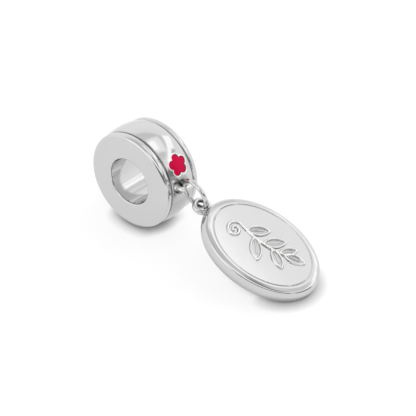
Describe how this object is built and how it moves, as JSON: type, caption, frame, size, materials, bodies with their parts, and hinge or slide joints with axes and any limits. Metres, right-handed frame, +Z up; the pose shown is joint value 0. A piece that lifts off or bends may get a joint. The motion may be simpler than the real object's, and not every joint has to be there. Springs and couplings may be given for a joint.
{
  "type": "dangle charm",
  "caption": "Silver bracelet charm: a drum-shaped bead with a wide bore and a red enamel flower, carrying an oval pendant with a raised leaf sprig on a jump ring.",
  "frame": {"origin": "bottom centre of the whole charm's box, on the surface it lies on", "axes": "+X from the bead to the pendant's tip, +Y along the bead's bore, away from its near face, +Z up"},
  "size_m": [0.0244, 0.0086, 0.01],
  "materials": {
    "silver": "polished silver, bright white",
    "enamel": "glossy red enamel"
  },
  "bodies": {
    "root": {"bead": "silver", "enamel_flower": "enamel", "jump_ring": "silver", "pendant": "silver"}
  },
  "joints": []
}
